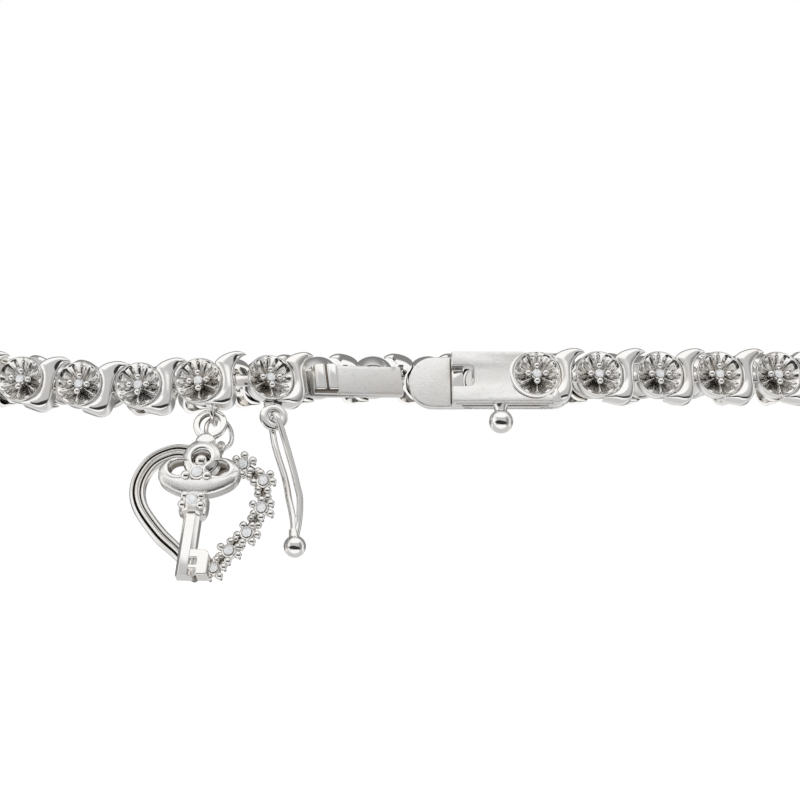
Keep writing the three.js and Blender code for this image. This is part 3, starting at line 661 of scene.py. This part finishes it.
def floorPlate(solid):
    # The floor with its rounded guide end, made of four pieces round the hole that shows through the notch.
    left, foot, top, bottom = (boxSize[name] for name in ("left", "foot", "top", "bottom"))
    notchFoot, notchTop, guideEnd = boxSize["notchFoot"], boxSize["notchTop"], boxSize["guideEnd"]
    holeLeft, holeRight = -6.05, boxSize["notchEnd"] - 0.1
    holeFoot, holeTop = notchFoot + 0.35, notchTop + 0.6
    low, high = bottom + 0.05, -0.35
    guide = roundedOutline([(holeLeft, foot - 0.05, 0.17), (holeLeft, top, 0.17), (guideEnd, top, 2.0),
                            (guideEnd, foot - 0.05, 1.9)], 14)
    plate(solid, guide, low, high, edge=0.16, lowEdge=0.08, steps=4, tarnish=-1)
    box(solid, (holeLeft - 0.05, holeRight + 0.02), (foot, holeFoot), (low, high), 0.04)
    box(solid, (holeLeft - 0.05, holeRight + 0.02), (holeTop, top), (low, high), 0.04)
    box(solid, (holeRight, 0.5), (foot, top), (low, high - 0.25), 0.04)
    # A dark strip of painted shade in the crevice where the front plate ends, and the step that the tongue's
    # bar rests on.
    box(solid, (left - 0.09, left + 0.04), (foot + 0.2, top - 0.15), (high - 0.05, high + 0.03), 0.01, 1.6)
    box(solid, (left + 0.05, holeLeft), (notchFoot + 0.08, notchTop - 0.08), (high - 0.05, high + 0.4), 0.1)


def crescent(solid):
    # The bright raised rim that runs round the left and lower side of the flower into the wave.
    inner, widest, least, ceiling = 1.93, 0.42, 0.03, 1.86
    turn = np.radians(np.linspace(112, 318, 60))
    along = np.clip((turn - turn[0]) / (turn[-1] - turn[0]), 0, 1)
    outer = inner + least + widest * np.sin(along * pi) ** 0.5
    left = np.column_stack([outer * np.cos(turn), np.minimum(outer * np.sin(turn), ceiling)])
    right = np.column_stack([inner * np.cos(turn), np.minimum(inner * np.sin(turn), ceiling)])
    left[:, 1] = np.maximum(left[:, 1], boxSize["foot"] + 0.06)
    edgeBand(solid, left, right, 0.3, 1.02, 0.8, power=0.9)


print("clasp shapes ready")


# Key.

key = {"half": 0.625, "bailOuter": 1.42, "bailBore": 0.9, "end": -10.1, "shaft": 0.7}


def lobe(solid, centre, outer, inner, innerCentre):
    # A pierced lobe: from the outer wall a satin bevel rises to a bright crest by the opening, then falls
    # inside. Its section is mixed from the outer ellipse to the opening's.
    angle = np.linspace(0, 2 * pi, 64, endpoint=False)
    out = np.array(centre) + np.column_stack([outer[0] * np.cos(angle), outer[1] * np.sin(angle)])
    hole = np.array(innerCentre) + np.column_stack([inner[0] * np.cos(angle), inner[1] * np.sin(angle)])
    half = key["half"]
    section = np.array([
        (0.0, -half), (0.0, 0.12), (0.04, 0.22), (0.12, 0.31), (0.3, 0.42), (0.5, 0.53), (0.62, 0.6),
        (0.72, half), (0.82, half - 0.01), (0.91, half - 0.07), (0.97, half - 0.18), (1.0, half - 0.32),
        (1.02, -0.1), (1.0, -half)])
    mix, z = section[:, 0][None, :, None], section[:, 1]
    flat = out[:, None] * (1 - mix) + hole[:, None] * mix
    # Painted shade on the foot of the outer wall and inside the opening; satin on the bevel below zero.
    dark = np.array([0.4, 0.3, 0.1, 0, -0.6, -1, -0.6, 0, 0, 0, 0.1, 0.3, 0.9, 0.9])
    solid.grid(atHeight(flat, z), dark, roundRows=True)


# Each stone's place and radius, and the edges of the curved band below the lobes.
keyStones = [(0, -0.62, 0.62, 0.5), (0, -3.4, 1.0, 0.52)]
bowEdges = {
    "inner": [(-3.1, -0.35), (-2.72, -0.85), (-2.1, -1.08), (-1.4, -1.08), (-0.7, -1.0), (0, -0.95),
              (0.7, -1.0), (1.4, -1.0), (2.05, -0.98), (2.7, -0.75), (3.05, -0.35)],
    "outer": [(-3.42, -0.4), (-3.3, -1.1), (-2.8, -1.7), (-1.85, -2.22), (-0.9, -2.5), (0, -2.6),
              (0.9, -2.5), (1.85, -2.22), (2.8, -1.7), (3.3, -1.1), (3.42, -0.4)],
}


def keyPiece():
    # Three pierced lobes on a curved band, with the bail above and the shaft, collar and bit below.
    solid = Solid()
    half = key["half"]
    lobe(solid, (0.05, 1.0), (1.6, 1.75), (0.76, 0.74), (0.1, 0.86))
    lobe(solid, (-1.72, -0.35), (1.7, 1.4), (0.94, 0.7), (-1.58, -0.1))
    lobe(solid, (1.74, -0.38), (1.7, 1.4), (0.94, 0.68), (1.64, -0.12))
    inner, outer = smoothThrough(bowEdges["inner"], 60), smoothThrough(bowEdges["outer"], 60)
    # Across the band: light painted shade at the inner edge, satin in the middle, more painted shade at the
    # outer edge.
    satinAndShade = np.interp(np.linspace(0, 1, 25), [0, 0.2, 0.4, 0.75, 0.9, 1], [0.2, 0, -1, -1, 0.3, 0.6])
    edgeBand(solid, inner[::-1], outer[::-1], -half, half + 0.02, 0.1, power=0.75, lean=-0.9, tarnish=satinAndShade)
    # Middle setting: a cup under the stone and a big bead above it, both with light painted shade, two beads
    # at its sides and a bar of metal below, dark with painted shade.
    cup = [(0, -0.3), (0.72, -0.3), (0.7, 0.62), (0.64, 0.7), (0.52, 0.7), (0.5, 0.6), (0, 0.55)]
    lathe(solid, cup, 28, "z", (*keyStones[0][:2], 0), 0.15)
    ball(solid, (0.1, 0.68, 0.26), 0.52, 24, 14, 0.15)
    for x in (-0.92, 0.86):
        ball(solid, (x, -0.92, 0.6), 0.42, 20, 12)
    box(solid, (-0.48, 0.42), (-1.4, -1.12), (0.2, 0.66), 0.1, 1.3)
    # Bail and its neck; the neck has light painted shade.
    bailRing(solid)
    ball(solid, (0.14, 2.62, 0), (0.85, 0.85, 0.45), 24, 16, 0.1)
    shaftLines(solid)
    collar(solid)
    bit(solid)
    return solid


def bailRing(solid):
    # A broad flat ring with rounded lips and a deep bore.
    outer, bore, half = key["bailOuter"], key["bailBore"], 0.25
    profile = [(bore, -half + 0.05), (bore, half - 0.12), (bore + 0.04, half - 0.03), (bore + 0.12, half),
               (outer - 0.16, half), (outer - 0.05, half - 0.05), (outer, half - 0.14), (outer, -half + 0.05),
               (outer - 0.05, -half), (bore + 0.05, -half)]
    # Painted shade darkens the bore and its lip.
    hoop(solid, profile, (*charm["bail"], 0), tarnish=np.array([0.75, 0.6, 0.1] + [0.0] * 7))


def shaftLines(solid):
    # A section with a flat middle and sloped sides carried down the shaft, drawn in at its lower end.
    half, wide, flat, edge = key["half"], key["shaft"], 0.36, 0.12
    section = roundedOutline([(-wide, -half, edge), (wide, -half, edge), (wide, 0.2, edge),
                              (flat, half, edge), (-flat, half, edge), (-wide, 0.2, edge)], 3)
    rows = [(0.1, key["end"]), (0.04, key["end"] + 0.03), (0, key["end"] + 0.12), (0, -6.0), (0, -2.75)]
    rings = []
    for depth, y in rows:
        x, z = pulledIn(section, depth).T
        rings.append(np.column_stack([x, np.full(len(section), y), z]))
    solid.grid(np.stack(rings), caps=True)


def collar(solid):
    # A drum round the shaft, the second stone's cup on it and four beads.
    drum = [(0, -0.05), (0.9, 0), (1.12, 0.08), (1.22, 0.4), (1.25, 0.95), (1.2, 1.5), (1.08, 1.82),
            (0.85, 1.92), (0, 1.95)]
    lathe(solid, drum, 40, "y", (0, -4.42, -0.1))
    # The cup under the stone carries light painted shade.
    cup = [(0, 0.4), (0.78, 0.4), (0.76, 1.0), (0.68, 1.1), (0.55, 1.1), (0.52, 1.0), (0, 0.95)]
    lathe(solid, cup, 28, "z", (*keyStones[1][:2], 0), 0.2)
    for x, y in ((-0.66, -2.98), (0.7, -3.0), (-0.76, -3.82), (0.76, -3.86)):
        ball(solid, (x, y, 0.92), 0.38, 18, 12)


def bit(solid):
    # The bit: two rounded plates with a slot and a step between them.
    half, start = key["half"], key["shaft"] - 0.35
    outline = roundedOutline([(start, -8.53, 0), (1.02, -8.53, 0.06), (1.06, -9.11, 0.06),
                              (start, -9.11, 0), (start, -9.55, 0), (1.05, -9.55, 0.06),
                              (1.05, -10.05, 0.14), (2.0, -10.05, 0.22), (2.0, -7.7, 0.5),
                              (start, -7.7, 0)], 4)
    plate(solid, outline, -half, half, 0.13, 0.08, 4)


# Heart.

heart = {"wide": 1.32, "half": 0.6, "tipY": -10.75, "settingZ": 0.55, "bead": 0.34, "stone": 0.42,
         "rise": 0.04}
# The middle lines of its two halves, from the top to the tip, and the places of its stones.
heartLeft = [(0.15, -1.5), (-1.1, -0.4), (-2.5, 0.05), (-3.95, -0.1), (-5.5, -1.2), (-6.2, -3.2),
             (-5.65, -5.15), (-3.6, -7.35), (-1.5, -8.95), (0, heart["tipY"])]
heartRight = [(-0.15, -1.5), (1.0, -0.75), (2.35, -0.6), (3.8, -1.4), (4.4, -2.8), (4.4, -4.3), (3.6, -6.6),
              (2.4, -8.35), (1.3, -9.7), (0, heart["tipY"])]
heartStones = [(2.4, -0.65), (4.38, -1.9), (4.65, -4.3), (3.85, -6.6), (2.62, -8.3), (1.62, -9.95)]


def sweepFlat(solid, path, section, dark, width=1.0):
    # A section of (aside, height) carried along a flat path; aside is measured to the path's left.
    path = np.asarray(path)
    ahead = np.gradient(path, axis=0)
    ahead /= np.linalg.norm(ahead, axis=1)[:, None]
    aside = np.column_stack([-ahead[:, 1], ahead[:, 0]])
    width = np.broadcast_to(width, len(path))[:, None]
    offset = section[:, 0][None] * width
    flat = path[:, None] + aside[:, None] * offset[..., None]
    solid.grid(atHeight(flat, section[:, 1]), dark, caps=True)


def heartBand():
    # Section of the left half, from its inner foot over three polished ribs to its outer foot. The ribs are
    # half waves; the grooves between them are narrow and painted dark as shade, and the middle rib is satin.
    half, wide = heart["half"], heart["wide"]
    across = np.linspace(0, 1, 49)
    floor, ribs = 0.12, [(0.0, 0.3, 0.34), (0.3, 0.68, 0.6), (0.68, 1.0, 0.5)]
    z = np.full(across.shape, floor)
    for start, end, height in ribs:
        inside = np.clip((across - start) / (end - start), 0, 1)
        rib = np.sin(pi * inside) ** 0.55 * (inside > 0) * (inside < 1)
        z = np.maximum(z, floor + (height - floor) * rib)
    groove = np.exp(-(((across - 0.3) / 0.035) ** 2)) * 0.9 + np.exp(-(((across - 0.69) / 0.06) ** 4)) * 1.4
    groove = groove - 0.7 * within(across, 0.34, 0.42) * within(-across, -0.66, -0.58)
    top = np.column_stack([(across - 0.5) * wide, z])
    bottom = np.array([(wide / 2 - 0.02, -half + 0.3), (wide / 2 - 0.3, -half), (-wide / 2 + 0.3, -half),
                       (-wide / 2 + 0.02, -half + 0.3)])
    return np.vstack([top, bottom]), np.concatenate([groove, np.zeros(4)])


def heartPiece():
    # The left band swept down its line, a bar dark with painted shade down the right one with its settings,
    # and the eye.
    solid = Solid()
    section, groove = heartBand()
    path = smoothThrough(heartLeft, 110)
    along = np.linspace(0, 1, 110)
    width = 0.7 + 0.3 * within(along, 0, 0.12) - 0.35 * within(along, 0.8, 1.0)
    sweepFlat(solid, path, section * (-1, 1), groove, width)
    spine = roundedOutline([(-0.32, -0.35, 0.1), (0.32, -0.35, 0.1), (0.32, 0.2, 0.15),
                            (-0.32, 0.2, 0.15)], 3)
    sweepFlat(solid, smoothThrough(heartRight, 70), spine, 0.75)
    # The tip, dark with painted shade.
    tip = [(0, -0.5), (0.28, -0.5), (0.34, -0.4), (0.34, 0.3), (0.26, 0.4), (0, 0.42)]
    lathe(solid, tip, 24, "z", (0, heart["tipY"] + 0.05, 0), 0.9)
    # Loose beads along the shaded bar, between the settings; the beads carry light painted shade.
    for a, b in zip(heartStones, heartStones[1:]):
        ahead = np.subtract(b, a) / np.hypot(*np.subtract(b, a))
        for aside, shift in ((-0.42, -0.12), (0.4, 0.14)):
            x, y = np.add(a, b) / 2 + ahead * shift + aside * np.array([-ahead[1], ahead[0]])
            ball(solid, (x, y, 0.28), heart["bead"], 12, 8, 0.15)
    for i, (x, y) in enumerate(heartStones):
        stoneSetting(solid, x, y, i)
    eye = Solid()
    ring(eye, (0, 0, 0), 0.6, 0.17, "z", 36, 12)
    solid.take(eye, moved(0, 0.66, 0) @ turned(pi / 2 + charm["eyeTurn"], "Y"))
    box(solid, (-0.28, 0.28), (-1.2, 0.15), (-0.3, 0.3), 0.1)
    return solid


beadDraws = np.random.default_rng(7).uniform(-1, 1, (6, 7, 3))


def stoneSetting(solid, x, y, number):
    # A cup for the stone with beads round it, each a little off its even place, on short pins. The cup has
    # light painted shade, the pins dark painted shade.
    z = heart["settingZ"]
    cup = [(0, -0.9), (0.52, -0.9), (0.66, -0.4), (0.68, 0.02), (0.62, 0.08), (0.52, 0.06), (0.46, -0.1),
           (0, -0.2)]
    lathe(solid, np.array(cup) * (0.9, 1), 24, "z", (x, y, z), 0.12)
    outward = np.arctan2(y + 5, x)  # from the middle of the heart
    for i in range(6):
        drift, reach, lift = beadDraws[number, i]
        angle = outward + pi * (2 * i + 1) / 6 + 0.12 * drift
        radius = 0.82 + 0.06 * reach
        at = (x + radius * cos(angle), y + radius * sin(angle))
        height = 0.42 + 0.1 * lift
        tube(solid, [(*at, -0.35), (*at, 0), (*at, height)], 0.14, 6, tarnish=0.8)
        ball(solid, (*at, height), heart["bead"], 12, 8)


print("charm shapes ready")


# Materials.

class Socket:
    # A node's output that takes part in Python expressions; each operation adds its Math node.
    def __init__(self, shader, output):
        self.shader, self.output = shader, output

    def math(self, operation, *values):
        return self.shader.node("ShaderNodeMath", {"operation": operation}, dict(enumerate((self, *values))))

    def __add__(self, other): return self.math("ADD", other)
    def __radd__(self, other): return self.math("ADD", other)
    def __mul__(self, other): return self.math("MULTIPLY", other)
    def __rmul__(self, other): return self.math("MULTIPLY", other)
    def __sub__(self, other): return self.math("SUBTRACT", other)
    def __rsub__(self, other): return self * -1 + other

    def step(self, low, high):
        # 0 below low, 1 above high, smooth between.
        names = {"Value": self, "From Min": low, "From Max": high}
        return self.shader.node("ShaderNodeMapRange", {"interpolation_type": "SMOOTHSTEP"}, names, "Result")


class Shader:
    # Node tree writer: settings are made first, then values and links go to the sockets.
    def __init__(self, tree):
        self.tree = tree
        tree.nodes.clear()

    def node(self, kind, settings=None, inputs=None, output=0):
        node = self.tree.nodes.new(kind)
        for name, value in (settings or {}).items():
            setattr(node, name, value)
        for name, value in (inputs or {}).items():
            if isinstance(value, Socket):
                self.tree.links.new(value.output, node.inputs[name])
            else:
                node.inputs[name].default_value = value
        return Socket(self, node.outputs[output]) if node.outputs else None

    def mixColour(self, factor, *colours):
        # The colour sockets of the mix node are its inputs 6 and 7, and its colour output is 2.
        a, b = (colour if isinstance(colour, Socket) else (*colour, 1) for colour in colours)
        return self.node("ShaderNodeMix", {"data_type": "RGBA"}, {"Factor": factor, 6: a, 7: b}, 2)

    def noise(self, where, scale, detail=3.0, roughness=0.55):
        return self.node("ShaderNodeTexNoise", None,
                         {"Vector": where, "Scale": scale, "Detail": detail, "Roughness": roughness}, "Fac")


finish = {
    # Colours: bright silver, the dark of painted shade, tarnishing and smudges, and warm wear.
    "bright": (0.93, 0.925, 0.915), "tarnished": (0.2, 0.17, 0.14), "warm": (0.93, 0.86, 0.78),
    "polish": 0.07, "satin": 0.3,
    # Size of the noises, in turns a metre, and the share of smudges and specks on the satin.
    "clouds": 420, "grain": 7000, "scratches": 1800, "smudges": 230, "specks": 2500,
    "smudge": 0.45, "speck": 0.1, "bump": 0.05, "satinBump": 0.24, "bumpHeight": 0.00003,
}


def newMaterial(name):
    material = bpy.data.materials.new(name)
    material.use_nodes = True
    return material, Shader(material.node_tree)


def silver(name):
    # Bright silver: polished and finely worn, darker and browner where the point value paints shade in
    # hollows, under and between parts, and tarnishing. Where that value is below zero, the metal is brushed
    # satin with a few dim, rough smudges.
    material, s = newMaterial(name)
    where = s.node("ShaderNodeTexCoord", None, None, "Object")
    tarnish = s.node("ShaderNodeAttribute", {"attribute_name": "tarnish"}, None, "Fac")
    squeeze = {"Vector": where, "Rotation": (0.3, 0.2, 0.5), "Scale": (1, 1, 5)}
    stretched = s.node("ShaderNodeMapping", None, squeeze)
    clouds = s.noise(where, finish["clouds"], 4)
    grain = s.noise(where, finish["grain"], 2)
    scratches = s.noise(stretched, finish["scratches"], 4, 0.7)
    worn = clouds.step(0.35, 0.7)
    satin = (tarnish * -1).step(0.0, 1.0)
    smudge = s.noise(where, finish["smudges"], 5, 0.7).step(0.6, 0.7) * finish["smudge"]
    speck = s.noise(where, finish["specks"], 3).step(0.55, 0.7) * finish["speck"]
    # Painted shade and tarnishing from the point value, and on the satin the smudges and specks.
    dark = (tarnish * (clouds * 0.8 + 0.6)).step(0.0, 1.0) + satin * (smudge + speck)
    colour = s.mixColour(worn * 0.35, finish["bright"], finish["warm"])
    colour = s.mixColour(dark, colour, finish["tarnished"])
    base = satin * (finish["satin"] - finish["polish"]) + finish["polish"]
    rough = worn * 0.06 + grain * 0.05 + dark * 0.18 + base
    height = scratches * 0.5 + grain * (satin + 0.5)
    strength = satin * finish["satinBump"] + finish["bump"]
    bump = s.node("ShaderNodeBump", None,
                  {"Strength": strength, "Distance": finish["bumpHeight"], "Height": height})
    bsdf = s.node("ShaderNodeBsdfPrincipled", None,
                  {"Base Color": colour, "Metallic": 1.0, "Roughness": rough, "Normal": bump})
    s.node("ShaderNodeOutputMaterial", None, {"Surface": bsdf})
    return material


gem = {
    "pale": (1.0, 1.0, 1.0), "milky": (0.8, 0.81, 0.83), "clouds": 2600,
    "roughness": 0.04, "bend": 1.8, "coat": 0.5,
}


def whiteStone(name):
    # A small clear stone: milky facets with a clean gloss.
    material, s = newMaterial(name)
    where = s.node("ShaderNodeTexCoord", None, None, "Object")
    clouds = s.noise(where, gem["clouds"], 3, 0.6)
    colour = s.mixColour(clouds.step(0.35, 0.65), gem["pale"], gem["milky"])
    bsdf = s.node("ShaderNodeBsdfPrincipled", None, {"Base Color": colour, "Roughness": gem["roughness"],
                                                     "IOR": gem["bend"], "Coat Weight": gem["coat"]})
    s.node("ShaderNodeOutputMaterial", None, {"Surface": bsdf})
    return material


polished = silver("polished_silver")
clear = whiteStone("clear_stone")


# Pieces.

def addPiece(name, mesh, place, body, material, replaced=()):
    scale = np.diag([0.001, 0.001, 0.001, 1.0])
    mesh.transform(Matrix((scale @ place).tolist()))
    mesh.materials.append(material)
    piece = addObject(name, mesh)
    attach(piece, body)
    if replaced:
        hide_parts(*replaced)


def addSilver(name, solid, place, body, node):
    # A silver piece that stands for one node.
    addPiece("silver_" + name, solid.mesh(name), place, body, polished, [node])


linkMesh = plainLink().mesh("plain_link")
for i, place in enumerate(linkFrames):
    name = f"link_{i + 1:02d}"
    addPiece("silver_" + name, linkMesh.copy(), place, "chain", polished, [name])
addSilver("tongue", tongueLink(), tongueFrame, "chain", "tongue_link")
addSilver("box", claspBox(), boxFrame, "chain", "clasp_box")
addSilver("arm", safetyArm(), tongueFrame, "arm", "safety_arm")
addSilver("key", keyPiece(), keyFrame, "charm", "key")
addSilver("heart", heartPiece(), heartFrame, "charm", "heart")
jumpRing, heartRing = Solid(), Solid()
ring(jumpRing, charm["jumpAt"], charm["jumpRadius"], charm["jumpWire"], "x", 56, 16)
ring(heartRing, (0, 0, 0), charm["heartRingRadius"], charm["heartRingWire"], "z", 64, 16)
addSilver("jump_ring", jumpRing, charmFrame, "charm", "jump_ring")
addSilver("heart_ring", heartRing, heartRingFrame, "charm", "heart_ring")
print("silver pieces placed")

facets = 10  # degrees between faces above which a stone's edge is sharp
stones, oneStone = Solid(), Solid()
roundStone(oneStone, (0, 0, flower["stoneAt"]), flower["stone"])
for place in [*linkFrames, tongueFrame, boxFrame]:
    stones.take(oneStone, place)
addPiece("flower_stones", stones.mesh("flower_stones", facets), np.eye(4), "chain", clear)
stones = Solid()
for x, y, z, radius in keyStones:
    roundStone(stones, (x, y, z), radius)
addPiece("key_stones", stones.mesh("key_stones", facets), keyFrame, "charm", clear,
         ["key_stone_1", "key_stone_2"])
stones = Solid()
for x, y in heartStones:
    roundStone(stones, (x, y, heart["settingZ"] + heart["rise"]), heart["stone"])
addPiece("heart_stones", stones.mesh("heart_stones", facets), heartFrame, "charm", clear,
         [f"heart_stone_{i + 1}" for i in range(len(heartStones))])
print("stones placed")


# Studio.

studio = {
    "floor": -0.085, "floorSize": 4.0, "glow": 0.6,
    # Brightness of the tent's white, of its front below the top light, of its floor and of what is behind the
    # bracelet, then the heights between which the top light begins.
    "white": 1.04, "front": 0.56, "below": 0.62, "behind": 0.24, "lowBright": 0.6, "highBright": 0.66,
    # How much dimmer the right side is, and how dark the card in front is.
    "rightDim": 0.5, "card": 0.94,
}


def studioFloor():
    # A pale square far below, unseen in reflections.
    mesh = bpy.data.meshes.new("floor")
    half, z = studio["floorSize"] / 2, studio["floor"]
    corners = [(-half, -half, z), (half, -half, z), (half, half, z), (-half, half, z)]
    mesh.from_pydata(corners, [], [(0, 1, 2, 3)])
    material, s = newMaterial("pale_floor")
    pale = {"Base Color": (0.9, 0.9, 0.9, 1), "Roughness": 0.9, "Specular IOR Level": 0.0,
            "Emission Color": (1, 1, 1, 1), "Emission Strength": studio["glow"]}
    bsdf = s.node("ShaderNodeBsdfPrincipled", None, pale)
    s.node("ShaderNodeOutputMaterial", None, {"Surface": bsdf})
    mesh.materials.append(material)
    floor = addObject("floor", mesh)
    floor.visible_glossy = False


def studioLight():
    # A white tent with one dark card, worked out from the direction alone.
    world = bpy.data.worlds.new("studio")
    bpy.context.scene.world = world
    world.use_nodes = True
    s = Shader(world.node_tree)
    direction = s.node("ShaderNodeTexCoord", None, None, "Generated")
    x, y, z = (s.node("ShaderNodeSeparateXYZ", None, {"Vector": direction}, axis) for axis in range(3))
    # The front is grey, and white from above, from the left and from steeply below; the right side is dimmer.
    topLight = z.step(studio["lowBright"], studio["highBright"]).math("MAXIMUM", (x * -1).step(0.6, 0.9))
    level = studio["front"] + (studio["white"] - studio["front"]) * topLight
    level = level.math("MAXIMUM", (z * -1).step(0.42, 0.55) * studio["white"])
    level = level * (1 - x.step(0.6, 0.85) * studio["rightDim"])
    ahead = (y * -1).step(-0.1, 0.3)
    level = studio["white"] * (1 - ahead) + level * ahead
    below = (z * -1).step(0.3, 0.6) * y.step(-0.45, -0.1)
    level = level * (1 - below) + studio["below"] * below
    behind = y.step(0.05, 0.5) * (z + 0.5).step(0.0, 0.4)
    level = level * (1 - behind) + studio["behind"] * behind
    # A dark card straight ahead: an ellipse with a ragged edge.
    ripple = s.noise(direction, 2.6, 2) - 0.5
    across, up = x * 1.08, (z + 0.16 + x * 0.1) * 2.8
    card = (1 - (across * across + up * up + ripple * 0.9).step(0.75, 1.0)) * ahead
    level = level * (1 - card * studio["card"])
    # Seen directly, the tent is plain white.
    eye = s.node("ShaderNodeLightPath", None, None, "Is Camera Ray")
    strength = eye + (1 - eye) * level
    background = s.node("ShaderNodeBackground", None, {"Color": (1, 1, 1, 1), "Strength": strength})
    s.node("ShaderNodeOutputWorld", None, {"Surface": background})


studioFloor()
studioLight()
bpy.context.scene.view_settings.view_transform = "Standard"
print("studio ready")
